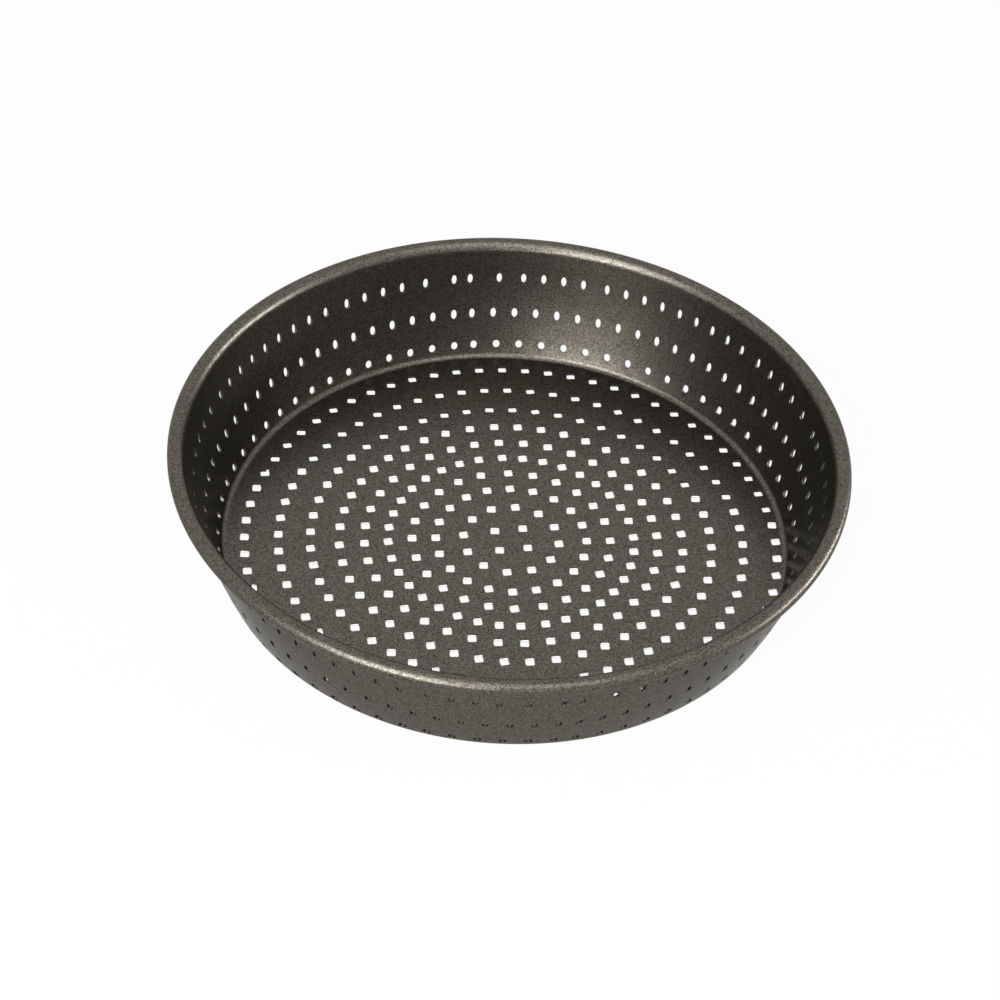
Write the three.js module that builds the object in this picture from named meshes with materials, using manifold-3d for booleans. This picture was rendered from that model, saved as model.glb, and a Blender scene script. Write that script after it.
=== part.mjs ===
// Deep pie pan: a round perforated pan pressed from one sheet, with its rim rolled around a steel wire.
// Millimetres, +Z up. The origin is the centre of the underside, which rests on the plane z = 0.

import * as THREE from 'three';
import { mergeGeometries, mergeVertices } from 'three/addons/utils/BufferGeometryUtils.js';
import Module from 'manifold-3d';

const wasm = await Module();
wasm.setup();

// Pan sizes
const mouthDiameter = 200.4;
const floorDiameter = 175.6;
const insideDepth = 39.5;
const sheetThickness = 0.8;
const cornerRadius = 2.1;
const wallRadius = 160;

// Rim wire, and how the sheet is rolled around it
const wireDiameter = 2.8;
const wireClearance = 0.3;
const wireEndGap = 1.5;
const curlTailGap = 0.35;

// Hole pattern: four equal quarters that meet along X and Y, around a centre off the pan's axis.
// cornerGap is the gap in degrees between the two holes on either side of where two quarters meet.
const patternCentre = new THREE.Vector2(1.7, -2);
const floorHoleWidth = 2.8;
const floorRings = [
  { radius: 6.4, count: 4 },
  { radius: 15.1, count: 12 },
  { radius: 23.9, count: 20 },
  { radius: 31.4, count: 24, cornerGap: 16.5 },
  { radius: 38.9, count: 36, cornerGap: 11.4 },
  { radius: 46.4, count: 36 },
  { radius: 54.3, count: 44 },
  { radius: 63.5, count: 52 },
  { radius: 73.5, count: 60 },
  { radius: 84.1, count: 68 },
];

// The wall's lowest row is out of level: it lies tilt higher in the direction tiltTurn, in degrees, and as much
// lower on the other side
const wallRow = {
  height: 4.3,
  tilt: 1.5,
  tiltTurn: 14,
  count: 76,
  cornerGap: 4.1,
  holeWidth: 2.7,
  holeLength: 3.3,
};

// Facets
const turnSegments = 48;
const curlSegments = 8;
const cornerSegments = 2;
const wallSegments = 2;
const wireSegments = 8;
const wallHoleSides = 6;

// How far the tools that pierce the sheet run past it
const cutOverrun = 1;
const wallPunchReach = 40;

// Places worked out from the sizes above, in the section plane of radius and height
const beadRadius = wireDiameter / 2 + wireClearance + sheetThickness;
const beadCentre = new THREE.Vector2(
  mouthDiameter / 2 + beadRadius,
  sheetThickness + insideDepth - beadRadius,
);
const cornerCentre = new THREE.Vector2(floorDiameter / 2, sheetThickness + cornerRadius);

// The bellied wall is an arc that runs on from the corner's arc and touches the bead from inside the pan
const toCorner = wallRadius - cornerRadius;
const toBead = wallRadius + beadRadius;
const centreLine = beadCentre.clone().sub(cornerCentre);
const span = centreLine.length();
const cornerAngle = Math.acos((toCorner ** 2 + span ** 2 - toBead ** 2) / (2 * toCorner * span));
const wallCentre = new THREE.Vector2(toCorner, 0)
  .rotateAround(new THREE.Vector2(), centreLine.angle() + cornerAngle)
  .add(cornerCentre);
const wallFoot = Math.asin((cornerCentre.y - wallCentre.y) / toCorner);
const wallTop = Math.asin((beadCentre.y - wallCentre.y) / toBead);
const wallFacing = Math.PI + wallTop;
const curlTurn = 2 * Math.PI - Math.acos((beadRadius - sheetThickness - curlTailGap) / beadRadius);

// The points of an arc in the section plane, from one angle to another
function arc(centre, radius, from, to, segments) {
  const clockwise = to < from;
  const curve = new THREE.EllipseCurve(centre.x, centre.y, radius, radius, from, to, clockwise);
  return curve.getPoints(segments);
}

// A turned body about the Z axis from a section outline
function turned(outline) {
  const geometry = new THREE.LatheGeometry(outline, turnSegments);
  return geometry.rotateX(Math.PI / 2);
}

function toSolid(geometry) {
  const bare = geometry.clone();
  bare.deleteAttribute('normal');
  bare.deleteAttribute('uv');
  const merged = mergeVertices(bare);
  return new wasm.Manifold(new wasm.Mesh({
    numProp: 3,
    vertProperties: new Float32Array(merged.attributes.position.array),
    triVerts: new Uint32Array(merged.index.array),
  }));
}

function toGeometry(solid) {
  const mesh = solid.getMesh();
  const geometry = new THREE.BufferGeometry();
  geometry.setAttribute('position', new THREE.BufferAttribute(mesh.vertProperties, 3));
  geometry.setIndex(new THREE.BufferAttribute(mesh.triVerts, 1));
  geometry.computeVertexNormals();
  return geometry;
}

// Directions of a ring's holes as seen from the pattern's centre
function holeAngles({ count, cornerGap = 360 / count }) {
  const perQuarter = count / 4;
  const pitch = (90 - cornerGap) / Math.max(perQuarter - 1, 1);
  const angles = [];
  for (let quarter = 0; quarter < 4; quarter += 1) {
    for (let step = 0; step < perQuarter; step += 1) {
      angles.push(THREE.MathUtils.degToRad(90 * quarter + cornerGap / 2 + pitch * step));
    }
  }
  return angles;
}

// The point of the flat sheet that lies at a distance and direction from the pattern's centre
function sheetPoint(radius, angle) {
  return new THREE.Vector2(radius, 0).rotateAround(new THREE.Vector2(), angle).add(patternCentre);
}

// Square holes straight down through the floor, all set the same way round, in the rings that it has room for
function floorCutters() {
  const depth = sheetThickness + 2 * cutOverrun;
  const room = floorDiameter / 2 - patternCentre.length();
  const rings = floorRings.filter((ring) => ring.radius < room);
  return rings.flatMap((ring) => holeAngles(ring).map((angle) => {
    const place = sheetPoint(ring.radius, angle);
    const cutter = new THREE.BoxGeometry(floorHoleWidth, floorHoleWidth, depth);
    return cutter.translate(place.x, place.y, sheetThickness / 2);
  }));
}

// Upright oval holes square through the wall, each pierced by a slender cone that points inwards.
// The sheet is pierced flat and then drawn up, so a hole keeps its direction from the pattern's centre.
function wallCutters() {
  const { height, tilt, tiltTurn, holeWidth, holeLength } = wallRow;
  const sheetRadius = floorDiameter / 2 + height;
  const midWall = wallRadius + sheetThickness / 2;
  const outside = sheetThickness / 2 + cutOverrun;
  const baseRadius = 0.5 * wallPunchReach / (wallPunchReach - outside);
  return holeAngles(wallRow).map((angle) => {
    const facing = sheetPoint(sheetRadius, angle).angle();
    const level = height + tilt * Math.cos(facing - THREE.MathUtils.degToRad(tiltTurn));
    const lean = Math.asin((wallCentre.y - level) / midWall);
    const cutter = new THREE.ConeGeometry(baseRadius, wallPunchReach, wallHoleSides);
    cutter.translate(0, wallPunchReach / 2 - outside, 0);
    cutter.scale(holeWidth, 1, holeLength);
    cutter.rotateZ(Math.PI / 2);
    cutter.rotateY(lean);
    cutter.translate(wallCentre.x + midWall * Math.cos(lean), 0, level);
    return cutter.rotateZ(facing);
  });
}

// The pressed sheet: floor, corner, bellied wall and the rolled rim, open between its tail and the wall
function panSheet() {
  const innerCurl = beadRadius - sheetThickness;
  const outerCorner = cornerRadius + sheetThickness;
  const down = -Math.PI / 2;
  const tail = wallFacing - curlTurn;
  const outline = [
    new THREE.Vector2(0, 0),
    ...arc(cornerCentre, outerCorner, down, wallFoot, cornerSegments),
    ...arc(wallCentre, wallRadius + sheetThickness, wallFoot, wallTop, wallSegments).slice(1, -1),
    ...arc(beadCentre, innerCurl, wallFacing, tail, curlSegments),
    ...arc(beadCentre, beadRadius, tail, wallFacing, curlSegments),
    ...arc(wallCentre, wallRadius, wallTop, wallFoot, wallSegments).slice(1, -1),
    ...arc(cornerCentre, cornerRadius, wallFoot, down, cornerSegments),
    new THREE.Vector2(0, sheetThickness),
  ];
  const holes = mergeGeometries([...floorCutters(), ...wallCutters()]);
  return toGeometry(toSolid(turned(outline)).subtract(toSolid(holes)));
}

// The ring of wire inside the rolled rim, with its two ends butted at the back
function rimWire() {
  const section = arc(beadCentre, wireDiameter / 2, 0, 2 * Math.PI, wireSegments);
  const ring = toSolid(turned(section));
  const gap = new THREE.BoxGeometry(wireEndGap, 2 * wireDiameter, 2 * wireDiameter);
  gap.translate(0, beadCentre.x, beadCentre.y);
  return toGeometry(ring.subtract(toSolid(gap)));
}

const coatedSteel = new THREE.MeshStandardMaterial({ color: 0x4b4843, roughness: 0.5, metalness: 0.6 });
const wireSteel = new THREE.MeshStandardMaterial({ color: 0x8d9093, roughness: 0.4, metalness: 0.9 });

const pan = new THREE.Mesh(panSheet(), coatedSteel);
pan.name = 'pan_sheet';

const wire = new THREE.Mesh(rimWire(), wireSteel);
wire.name = 'rim_wire';

const piePan = new THREE.Group();
piePan.add(pan, wire);

export default piePan;
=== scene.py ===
import random
from math import acos, asin, atan2, cos, pi, radians, sin, sqrt, tau

import bmesh
import bpy
from mathutils import Matrix, Quaternion, Vector


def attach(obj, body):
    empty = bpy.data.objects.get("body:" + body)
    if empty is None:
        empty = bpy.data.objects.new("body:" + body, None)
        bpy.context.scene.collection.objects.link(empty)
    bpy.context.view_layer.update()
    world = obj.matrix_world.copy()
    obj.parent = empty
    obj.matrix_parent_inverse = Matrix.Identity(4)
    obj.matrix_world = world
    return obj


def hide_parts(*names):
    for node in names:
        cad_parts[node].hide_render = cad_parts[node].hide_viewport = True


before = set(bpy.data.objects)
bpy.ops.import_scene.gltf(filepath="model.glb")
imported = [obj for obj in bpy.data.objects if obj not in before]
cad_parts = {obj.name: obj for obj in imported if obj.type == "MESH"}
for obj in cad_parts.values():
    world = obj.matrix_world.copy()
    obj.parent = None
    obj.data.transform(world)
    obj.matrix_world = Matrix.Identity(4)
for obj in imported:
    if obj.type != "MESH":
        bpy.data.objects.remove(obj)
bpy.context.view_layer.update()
mm = 0.001
print("frame loaded:", ", ".join(sorted(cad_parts)))


# a shader socket that can be used in Python expressions
class Shade:
    def __init__(self, tree, socket=None):
        self.tree = tree
        self.socket = socket

    def node(self, kind, settings={}, inputs={}, output=0):
        made = self.tree.nodes.new(kind)
        for name, value in settings.items():
            setattr(made, name, value)
        for name, value in inputs.items():
            if isinstance(value, Shade):
                self.tree.links.new(value.socket, made.inputs[name])
            else:
                made.inputs[name].default_value = value
        return Shade(self.tree, made.outputs[output] if len(made.outputs) else None)

    def maths(self, operation, first, second):
        return self.node("ShaderNodeMath", {"operation": operation}, {0: first, 1: second})

    def blend(self, factor, first, second):
        return self.node("ShaderNodeMix", {"data_type": "RGBA"}, {0: factor, 6: first, 7: second}, 2)

    def __add__(self, other):
        return self.maths("ADD", self, other)

    def __radd__(self, other):
        return self.maths("ADD", other, self)

    def __sub__(self, other):
        return self.maths("SUBTRACT", self, other)

    def __rsub__(self, other):
        return self.maths("SUBTRACT", other, self)

    def __mul__(self, other):
        return self.maths("MULTIPLY", self, other)

    def __rmul__(self, other):
        return self.maths("MULTIPLY", other, self)


def newFinish(name):
    finish = bpy.data.materials.new(name)
    finish.use_nodes = True
    finish.node_tree.nodes.clear()
    return finish, Shade(finish.node_tree)


def noise(place, size, detail):
    return place.node("ShaderNodeTexNoise", {}, {"Vector": place, "Scale": 1 / size, "Detail": detail})


def relief(height, strength, distance):
    return height.node("ShaderNodeBump", {}, {"Strength": strength, "Distance": distance, "Height": height})


def newPiece(name, bm, finish):
    mesh = bpy.data.meshes.new(name)
    bm.to_mesh(mesh)
    bm.free()
    mesh.materials.append(finish)
    piece = bpy.data.objects.new(name, mesh)
    bpy.context.scene.collection.objects.link(piece)
    return piece


# satin charcoal coating with a fine metallic fleck; the cut edges of the wall's holes are a little darker;
# those of the floor's are painted bright in its middle and most of its front part, a painted light that
# stands for light falling through the holes, and are dark and dull elsewhere, the coating's own tone with
# painted shade
coating = {
    "darkColour": (0.036, 0.033, 0.027, 1),
    "lightColour": (0.18, 0.166, 0.141, 1),
    "edgeTint": (0.6, 0.6, 0.58, 1),
    "fleckSize": 0.27 * mm,
    "fleckRelief": 0.4,
    "mottleSize": 9 * mm,
    "mottleDetail": 3.0,
    "mottleDepth": 0.04,
    "mottleColour": (0.02, 0.018, 0.015, 1),
    "roughness": 0.29,
    "roughnessSpread": 0.03,
    "grainSize": 0.27 * mm,
    "grainDetail": 2.0,
    "grainStrength": 0.6,
    "grainHeight": 0.05 * mm,
    "cutColour": (0.045, 0.042, 0.036, 1),
    "cutRoughness": 0.5,
    "wallCutColour": (0.098, 0.091, 0.077, 1),
    # the bright colour below is painted light on the floor holes' cut edges inside the two discs that
    # follow; the third pair bounds a band of painted shade along the front wall
    "paintedLightColour": (0.86, 0.85, 0.83, 1),
    "paintedLightCentre": (1.7 * mm, -2 * mm, 0),
    "paintedLightReach": 59 * mm,
    "paintedLightFrontCentre": (-29.7 * mm, -116.3 * mm, 0),
    "paintedLightFrontReach": 162 * mm,
    "paintedShadeFrontCentre": (9.6 * mm, 43.6 * mm, 0),
    "paintedShadeFrontReach": 107.0 * mm,
    "wallEdgeHeight": 1.2 * mm,
}


def coatedSheet():
    c = coating
    finish, shade = newFinish("coatedSheet")
    place = shade.node("ShaderNodeTexCoord", output="Object")
    cells = shade.node("ShaderNodeTexVoronoi", {}, {"Vector": place, "Scale": 1 / c["fleckSize"]}, "Color")
    lot = shade.node("ShaderNodeSeparateColor", {}, {"Color": cells}, "Red")
    mottle = noise(place, c["mottleSize"], c["mottleDetail"])
    grain = noise(place, c["grainSize"], c["grainDetail"])
    tone = shade.blend(lot, c["darkColour"], c["lightColour"])
    surface = shade.node("ShaderNodeBsdfPrincipled", {}, {
        "Base Color": shade.blend(mottle * c["mottleDepth"], tone, c["mottleColour"]),
        "Metallic": 1.0,
        "Specular Tint": c["edgeTint"],
        "Roughness": c["roughness"] + (mottle - 0.5) * c["roughnessSpread"],
        "Normal": relief(grain + lot * c["fleckRelief"], c["grainStrength"], c["grainHeight"]),
    })
    shade.node("ShaderNodeOutputMaterial", {}, {"Surface": surface})
    return finish


# 1 where a point is further than reach from centre, else 0
def beyond(place, centre, reach):
    away = place.node("ShaderNodeVectorMath", {"operation": "DISTANCE"}, {0: place, 1: centre}, "Value")
    return place.maths("GREATER_THAN", away, reach)


def cutEdge():
    c = coating
    finish, shade = newFinish("cutEdge")
    place = shade.node("ShaderNodeTexCoord", output="Object")
    grain = noise(place, c["grainSize"], c["grainDetail"])
    height = shade.node("ShaderNodeSeparateXYZ", {}, {"Vector": place}, "Z")
    # painted light on the floor holes' cut edges inside either disc, painted shade outside both and beyond
    # the front-wall reach
    outside = beyond(place, c["paintedLightCentre"], c["paintedLightReach"])
    behind = beyond(place, c["paintedLightFrontCentre"], c["paintedLightFrontReach"])
    atEnd = beyond(place, c["paintedShadeFrontCentre"], c["paintedShadeFrontReach"])
    paintedShadeMask = shade.maths("MAXIMUM", outside * behind, atEnd)
    inWall = shade.maths("GREATER_THAN", height, c["wallEdgeHeight"])
    floorShadeMask = paintedShadeMask * (1 - inWall)
    floorTone = shade.blend(paintedShadeMask, c["paintedLightColour"], c["cutColour"])
    surface = shade.node("ShaderNodeBsdfPrincipled", {}, {
        "Base Color": shade.blend(inWall, floorTone, c["wallCutColour"]),
        "Metallic": 1.0,
        "Specular Tint": c["edgeTint"],
        "Roughness": c["roughness"] + floorShadeMask * (c["cutRoughness"] - c["roughness"]),
        "Normal": relief(grain, c["grainStrength"], c["grainHeight"]),
    })
    shade.node("ShaderNodeOutputMaterial", {}, {"Surface": surface})
    return finish


# plain drawn steel with small darker marks
drawnWire = {
    "colour": (0.27, 0.275, 0.285, 1),
    "darkColour": (0.15, 0.15, 0.155, 1),
    "metallic": 0.95,
    "roughness": 0.34,
    "roughnessSpread": 0.2,
    "markSize": 1.2 * mm,
    "markDetail": 4.0,
    "markStrength": 0.4,
    "markHeight": 0.01 * mm,
}


def wireSteel():
    w = drawnWire
    finish, shade = newFinish("wireSteel")
    place = shade.node("ShaderNodeTexCoord", output="Object")
    marks = noise(place, w["markSize"], w["markDetail"])
    surface = shade.node("ShaderNodeBsdfPrincipled", {}, {
        "Base Color": shade.blend(marks, w["darkColour"], w["colour"]),
        "Metallic": w["metallic"],
        "Roughness": w["roughness"] + (marks - 0.5) * w["roughnessSpread"],
        "Normal": relief(marks, w["markStrength"], w["markHeight"]),
    })
    shade.node("ShaderNodeOutputMaterial", {}, {"Surface": surface})
    return finish


# the pressed sheet
pan = {
    "mouthRadius": 100.2 * mm,
    "floorRadius": 87.8 * mm,
    "insideDepth": 39.5 * mm,
    "thickness": 0.8 * mm,
    "cornerRadius": 2.1 * mm,
    "wallRadius": 160 * mm,
    "beadRadius": 2.5 * mm,
    "flareRadius": 4.6 * mm,
    "flareEnd": 42,
    "curlTailGap": 0.35 * mm,
    "flatBorder": 0.6 * mm,
    "mergeReach": 0.002 * mm,
    "sharpAngle": 28,
    "turnSteps": 288,
    "cornerSteps": 8,
    "wallSteps": 6,
    "flareSteps": 6,
    "curlSteps": 28,
}
bead = Vector((
    pan["mouthRadius"] + pan["beadRadius"],
    0,
    pan["thickness"] + pan["insideDepth"] - pan["beadRadius"],
))
corner = Vector((pan["floorRadius"], 0, pan["thickness"] + pan["cornerRadius"]))

# the wall flares into the bead, up to where the sheet faces flareEnd degrees above level
flareEnd = radians(pan["flareEnd"])
flare = bead + (pan["flareRadius"] - pan["beadRadius"]) * Vector((cos(flareEnd), 0, -sin(flareEnd)))

# the bellied wall is an arc that runs on from the corner's arc to the flare's
toCorner = pan["wallRadius"] - pan["cornerRadius"]
toFlare = pan["wallRadius"] + pan["flareRadius"]
span = (flare - corner).length
cornerAngle = acos((toCorner ** 2 + span ** 2 - toFlare ** 2) / (2 * toCorner * span))
centreAngle = atan2(flare.z - corner.z, flare.x - corner.x) + cornerAngle
wallCentre = corner + toCorner * Vector((cos(centreAngle), 0, sin(centreAngle)))
wallFoot = asin((corner.z - wallCentre.z) / toCorner)
wallTop = asin((flare.z - wallCentre.z) / toFlare)
flareTurn = flareEnd + wallTop
tailReach = pan["beadRadius"] - pan["thickness"] - pan["curlTailGap"]
curlTurn = tau - acos(tailReach / pan["beadRadius"])


# the sheet's inner face from the floor's edge to the tail of the curl, turned about the pan's axis
def pressedFace(bm):
    p = pan
    start = bm.verts.new((p["floorRadius"] - p["flatBorder"], 0, p["thickness"]))
    tip = bmesh.ops.extrude_vert_indiv(bm, verts=[start])["verts"]
    bmesh.ops.translate(bm, verts=tip, vec=(p["flatBorder"], 0, 0))
    arcs = [
        (corner, -1, pi / 2 + wallFoot, p["cornerSteps"]),
        (wallCentre, -1, wallTop - wallFoot, p["wallSteps"]),
        (flare, 1, flareTurn, p["flareSteps"]),
        (bead, 1, curlTurn - flareTurn, p["curlSteps"]),
    ]
    for centre, side, angle, steps in arcs:
        swept = bmesh.ops.spin(bm, geom=tip, cent=centre, axis=(0, side, 0), angle=angle, steps=steps)
        tip = [v for v in swept["geom_last"] if isinstance(v, bmesh.types.BMVert)]
    bmesh.ops.spin(
        bm, geom=bm.verts[:] + bm.edges[:], cent=(0, 0, 0), axis=(0, 0, 1), angle=tau, steps=p["turnSteps"],
        use_merge=True)
    bmesh.ops.remove_doubles(bm, verts=bm.verts[:], dist=p["mergeReach"])
    inner = p["floorRadius"] - p["flatBorder"] / 2
    loop = [e for e in bm.edges if all(v.co.xy.length < inner for v in e.verts)]
    bmesh.ops.edgeloop_fill(bm, edges=loop)
    bmesh.ops.recalc_face_normals(bm, faces=bm.faces[:])
    floor = max(bm.faces, key=lambda f: f.calc_area())
    if floor.normal.z < 0:
        bmesh.ops.reverse_faces(bm, faces=bm.faces[:])


# hole pattern: four quarters that meet along X and Y, about a centre off the pan's axis;
# gaps are degrees, the first across the meeting line, the next ones away from it, the rest equal;
# the wall's rows have centres of their own and are out of level: highest in the direction tiltTurn,
# and a little higher at the sides than at the front and back
holes = {
    "centre": (1.7 * mm, -2 * mm),
    "edge": 0.06 * mm,
    "overrun": 0.35 * mm,
    "floorWidth": 2.73 * mm,
    "floorCorner": 0.5 * mm,
    "floorCornerSteps": 3,
    "floorTurn": -3.0,
    "floorTwist": 7.0,
    "spread": 0.03,
    "ovalSides": 14,
    "tilt": 1.5 * mm,
    "tiltTurn": 14,
    "sideRise": 0.4 * mm,
    "seed": 7,
    "rings": [
        {"radius": 6.37 * mm, "count": 4},
        {"radius": 15.14 * mm, "count": 12},
        {"radius": 23.91 * mm, "count": 20},
        {"radius": 31.38 * mm, "count": 24, "gaps": [16.5]},
        {"radius": 38.93 * mm, "count": 36, "gaps": [11.4]},
        {"radius": 46.43 * mm, "count": 36},
        {"radius": 54.35 * mm, "count": 44, "oddGaps": [9.0, 8.9, 8.3, 7.9]},
        {"radius": 63.46 * mm, "count": 52},
        {"radius": 73.52 * mm, "count": 60},
        {"radius": 84.14 * mm, "count": 68},
    ],
    "rows": [
        {"height": 4.65 * mm, "count": 76, "gaps": [4.1], "centre": (1.7 * mm, -1.1 * mm),
         "width": 2.3 * mm, "length": 2.75 * mm},
        {"height": 15.25 * mm, "count": 84, "gaps": [3.7], "centre": (1.7 * mm, -0.8 * mm),
         "width": 1.95 * mm, "length": 3.4 * mm},
        {"height": 27.5 * mm, "count": 84, "gaps": [3.2, 5.8, 4.85, 4.0, 4.0, 4.0, 4.87],
         "centre": (1.7 * mm, 1.3 * mm), "width": 1.75 * mm, "length": 3.5 * mm},
    ],
}


def holeAngles(ring):
    perQuarter = ring["count"] // 4
    even = ring.get("gaps", [90 / perQuarter])
    angles = []
    for quarter in range(4):
        gaps = ring.get("oddGaps", even) if quarter % 2 else even
        side = [gaps[0] / 2 + sum(gaps[1:step + 1]) for step in range(len(gaps))]
        between = perQuarter - 2 * len(side)
        pitch = (90 - 2 * side[-1]) / max(between + 1, 1)
        middle = [side[-1] + pitch * (step + 1) for step in range(between)]
        offsets = sorted(set(side + middle + [90 - s for s in side]))
        angles += [radians(90 * quarter + s) for s in offsets]
    return angles


# a punch with flared ends, so that both rims of its hole get a small chamfer
def punchTool(width, length, square):
    half = pan["thickness"] / 2
    widening = holes["edge"] + holes["overrun"]
    levels = [
        (half + holes["overrun"], widening),
        (half - holes["edge"], 0),
        (holes["edge"] - half, 0),
        (-half - holes["overrun"], widening),
    ]
    bm = bmesh.new()
    if square:
        bmesh.ops.create_circle(bm, cap_ends=True, segments=4, radius=width / sqrt(2))
        bmesh.ops.rotate(bm, verts=bm.verts[:], matrix=Matrix.Rotation(pi / 4, 3, "Z"))
        bmesh.ops.bevel(
            bm, geom=bm.verts[:], offset=holes["floorCorner"], affect="VERTICES",
            segments=holes["floorCornerSteps"], profile=0.5, material=-1)
    else:
        bmesh.ops.create_circle(bm, cap_ends=True, segments=holes["ovalSides"], radius=width / 2)
        bmesh.ops.scale(bm, verts=bm.verts[:], vec=(1, length / width, 1))
    size = Vector((1, 1, 1))
    cap = bm.faces[:]
    for step, (level, grow) in enumerate(levels):
        if step:
            made = bmesh.ops.extrude_face_region(bm, geom=cap)["geom"]
            if step > 1:
                bmesh.ops.delete(bm, geom=cap, context="FACES_ONLY")
            cap = [f for f in made if isinstance(f, bmesh.types.BMFace)]
        rim = list({v for f in cap for v in f.verts})
        wanted = Vector(((width + 2 * grow) / width, (length + 2 * grow) / length, 1))
        bmesh.ops.scale(bm, verts=rim, vec=[w / s for w, s in zip(wanted, size)])
        bmesh.ops.translate(bm, verts=rim, vec=(0, 0, level - rim[0].co.z))
        size = wanted
    bmesh.ops.recalc_face_normals(bm, faces=bm.faces[:])
    tool = bpy.data.meshes.new("punchTool")
    bm.to_mesh(tool)
    bm.free()
    return tool


def strike(bm, tool, matrix):
    firstVert = len(bm.verts)
    bm.from_mesh(tool)
    bm.verts.ensure_lookup_table()
    bmesh.ops.transform(bm, matrix=matrix, verts=bm.verts[firstVert:])


def sheetPoint(centre, radius, angle):
    x, y = centre
    return x + radius * cos(angle), y + radius * sin(angle)


def unevenSize(lots):
    grow = [1 + lots.uniform(-1, 1) * holes["spread"] for side in "xy"]
    return Matrix.Diagonal((grow[0], grow[1], 1, 1))


def floorPunches(bm, lots):
    tool = punchTool(holes["floorWidth"], holes["floorWidth"], True)
    for ring in holes["rings"]:
        for angle in holeAngles(ring):
            x, y = sheetPoint(holes["centre"], ring["radius"], angle)
            twist = radians(holes["floorTurn"] + lots.uniform(-1, 1) * holes["floorTwist"])
            spot = Matrix.Translation((x, y, pan["thickness"] / 2)) @ Matrix.Rotation(twist, 4, "Z")
            strike(bm, tool, spot @ unevenSize(lots))
    bpy.data.meshes.remove(tool)


# the sheet is pierced flat and then drawn up, so a hole keeps its direction from the pattern's centre
def wallPunches(bm, lots):
    midWall = pan["wallRadius"] + pan["thickness"] / 2
    for row in holes["rows"]:
        tool = punchTool(row["width"], row["length"], False)
        for angle in holeAngles(row):
            x, y = sheetPoint(row["centre"], pan["floorRadius"] + row["height"], angle)
            facing = atan2(y, x)
            level = row["height"] + holes["tilt"] * cos(facing - radians(holes["tiltTurn"]))
            level += holes["sideRise"] * cos(2 * facing)
            lean = asin((wallCentre.z - level) / midWall)
            along, up = Vector((0, 1, 0)), Vector((sin(lean), 0, cos(lean)))
            square = Matrix((along, up, along.cross(up))).transposed().to_4x4()
            place = Matrix.Translation((wallCentre.x + midWall * cos(lean), 0, level))
            spot = Matrix.Rotation(facing, 4, "Z") @ place @ square
            strike(bm, tool, spot @ unevenSize(lots))
        bpy.data.meshes.remove(tool)


def panPiece(finish, edgeFinish):
    bm = bmesh.new()
    pressedFace(bm)
    piece = newPiece("pan", bm, finish)
    lots = random.Random(holes["seed"])
    bm = bmesh.new()
    floorPunches(bm, lots)
    wallPunches(bm, lots)
    punches = newPiece("punches", bm, edgeFinish)
    thick = piece.modifiers.new("thickness", "SOLIDIFY")
    thick.thickness = pan["thickness"]
    thick.offset = -1
    thick.use_even_offset = True
    thick.use_quality_normals = True
    pierce = piece.modifiers.new("pierce", "BOOLEAN")
    pierce.operation = "DIFFERENCE"
    pierce.solver = "MANIFOLD"
    pierce.material_mode = "TRANSFER"
    pierce.object = punches
    ready = piece.evaluated_get(bpy.context.evaluated_depsgraph_get())
    mesh = bpy.data.meshes.new_from_object(ready)
    piece.modifiers.clear()
    plain = piece.data
    piece.data = mesh
    bpy.data.meshes.remove(plain)
    shell = punches.data
    bpy.data.objects.remove(punches)
    bpy.data.meshes.remove(shell)
    mesh.name = "pan"
    mesh.shade_smooth()
    mesh.set_sharp_from_angle(angle=radians(pan["sharpAngle"]))
    edges = sum(1 for face in mesh.polygons if face.material_index)
    print("pan:", len(mesh.polygons), "faces, of them", edges, "on cut edges,", len(mesh.vertices), "points")
    return piece


# ring of wire inside the rolled rim, its ends butted at the back
wire = {
    "radius": 1.4 * mm,
    "endGap": 1.5 * mm,
    "endBevel": 0.2 * mm,
    "endBevelSteps": 2,
    "sharpAngle": 40,
    "sides": 16,
    "turnSteps": 220,
}


def rimWire(finish):
    bm = bmesh.new()
    section = Matrix.Translation(bead) @ Matrix.Rotation(pi / 2, 4, "X")
    bmesh.ops.create_circle(bm, cap_ends=True, segments=wire["sides"], radius=wire["radius"], matrix=section)
    gap = wire["endGap"] / bead.x
    bmesh.ops.rotate(bm, verts=bm.verts[:], matrix=Matrix.Rotation(pi / 2 + gap / 2, 3, "Z"))
    bmesh.ops.spin(
        bm, geom=bm.verts[:] + bm.edges[:] + bm.faces[:], cent=(0, 0, 0), axis=(0, 0, 1), angle=tau - gap,
        steps=wire["turnSteps"])
    bmesh.ops.recalc_face_normals(bm, faces=bm.faces[:])
    ends = [f for f in bm.faces if len(f.verts) == wire["sides"]]
    rims = [e for f in ends for e in f.edges]
    bmesh.ops.bevel(
        bm, geom=rims, offset=wire["endBevel"], affect="EDGES", segments=wire["endBevelSteps"], profile=0.5,
        material=-1)
    piece = newPiece("rimWire", bm, finish)
    piece.data.shade_smooth()
    piece.data.set_sharp_from_angle(angle=radians(wire["sharpAngle"]))
    print("rim wire:", len(piece.data.polygons), "faces")
    return piece


panObject = panPiece(coatedSheet(), cutEdge())
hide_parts("pan_sheet")
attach(panObject, "root")

wireObject = rimWire(wireSteel())
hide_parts("rim_wire")
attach(wireObject, "root")


# the camera, in the place that the photograph was taken from; degrees and metres
view = {
    "azimuth": -102.4,
    "elevation": 42.867,
    "distance": 916.06 * mm,
    "aim": (1.337 * mm, 16.764 * mm, 0.8 * mm),
    "roll": 3.447,
    "lens": 104.141,
    "sensor": 36.0,
}


def around(azimuth, elevation, distance):
    flat = distance * cos(radians(elevation))
    height = distance * sin(radians(elevation))
    return Vector((flat * cos(radians(azimuth)), flat * sin(radians(azimuth)), height))


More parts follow.
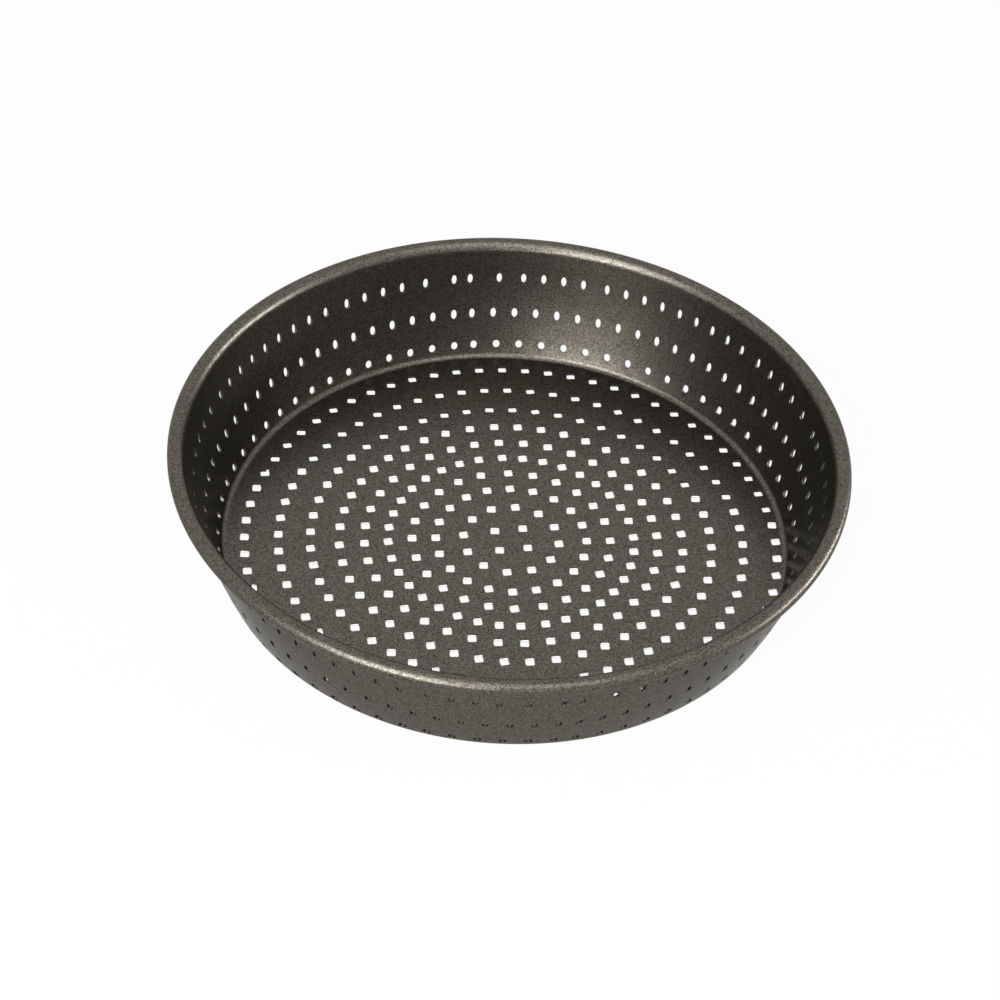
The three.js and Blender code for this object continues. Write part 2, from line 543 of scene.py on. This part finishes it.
def makeCamera():
    v = view
    lens = bpy.data.cameras.new("camera")
    lens.sensor_width = v["sensor"]
    lens.lens = v["lens"]
    camera = bpy.data.objects.new("camera", lens)
    camera.location = around(v["azimuth"], v["elevation"], v["distance"]) + Vector((0, 0, v["aim"][2]))
    facing = (Vector(v["aim"]) - camera.location).to_track_quat("-Z", "Y")
    camera.rotation_euler = (facing @ Quaternion((0, 0, 1), radians(v["roll"]))).to_euler()
    bpy.context.scene.collection.objects.link(camera)
    bpy.context.scene.camera = camera


# white table and soft lamps; a lamp's turn is its angle to the right of the camera
studio = {
    "tableSize": 6.0,
    "tableDrop": 0.05 * mm,
    "tableColour": (0.82, 0.82, 0.82, 1),
    "shadowShare": 0.05,
    "fill": 0.3,
    "lamps": [
        {"name": "leftSoftbox", "turn": -34, "height": 31, "away": 1.2, "size": (0.7, 0.8), "watts": 12},
        {"name": "lowSoftbox", "turn": -21, "height": 14, "away": 1.25, "size": (0.66, 0.22), "watts": 5.4},
        {"name": "rightStrip", "turn": 101, "height": 8, "away": 1.2, "size": (0.78, 0.08), "watts": 8},
        {"name": "topSoftbox", "turn": 16, "height": 60, "away": 1.1, "size": (0.8, 0.9), "watts": 3.5},
    ],
}


def seenRays(shade):
    path = shade.node("ShaderNodeLightPath", output="Is Camera Ray")
    rays = path.socket.node.outputs
    seen = path + Shade(shade.tree, rays["Is Glossy Ray"]) + Shade(shade.tree, rays["Is Transmission Ray"])
    return shade.maths("MINIMUM", seen, 1.0)


def makeTable():
    s = studio
    finish, shade = newFinish("whiteTable")
    lit = shade.node("ShaderNodeBsdfDiffuse", {}, {"Color": s["tableColour"]})
    white = shade.node("ShaderNodeEmission", {}, {"Color": (1, 1, 1, 1), "Strength": 1.0})
    share = seenRays(shade) * (1 - s["shadowShare"])
    surface = shade.node("ShaderNodeMixShader", {}, {0: share, 1: lit, 2: white})
    shade.node("ShaderNodeOutputMaterial", {}, {"Surface": surface})
    bm = bmesh.new()
    bmesh.ops.create_grid(bm, x_segments=1, y_segments=1, size=s["tableSize"] / 2)
    bmesh.ops.translate(bm, verts=bm.verts[:], vec=(0, 0, -s["tableDrop"]))
    table = newPiece("table", bm, finish)


def makeLight():
    world = bpy.data.worlds.new("studio")
    world.use_nodes = True
    world.node_tree.nodes.clear()
    shade = Shade(world.node_tree)
    strength = studio["fill"] + seenRays(shade) * (1 - studio["fill"])
    sky = shade.node("ShaderNodeBackground", {}, {"Color": (1, 1, 1, 1), "Strength": strength})
    shade.node("ShaderNodeOutputWorld", {}, {"Surface": sky})
    bpy.context.scene.world = world
    for spec in studio["lamps"]:
        lamp = bpy.data.lights.new(spec["name"], "AREA")
        lamp.shape = "RECTANGLE"
        lamp.size, lamp.size_y = spec["size"]
        lamp.energy = spec["watts"]
        holder = bpy.data.objects.new(spec["name"], lamp)
        holder.location = around(view["azimuth"] + spec["turn"], spec["height"], spec["away"])
        holder.rotation_euler = (-holder.location).to_track_quat("-Z", "Y").to_euler()
        bpy.context.scene.collection.objects.link(holder)


makeTable()
makeLight()
makeCamera()
bpy.context.scene.view_settings.view_transform = "Standard"
print("table, lamps and camera set")
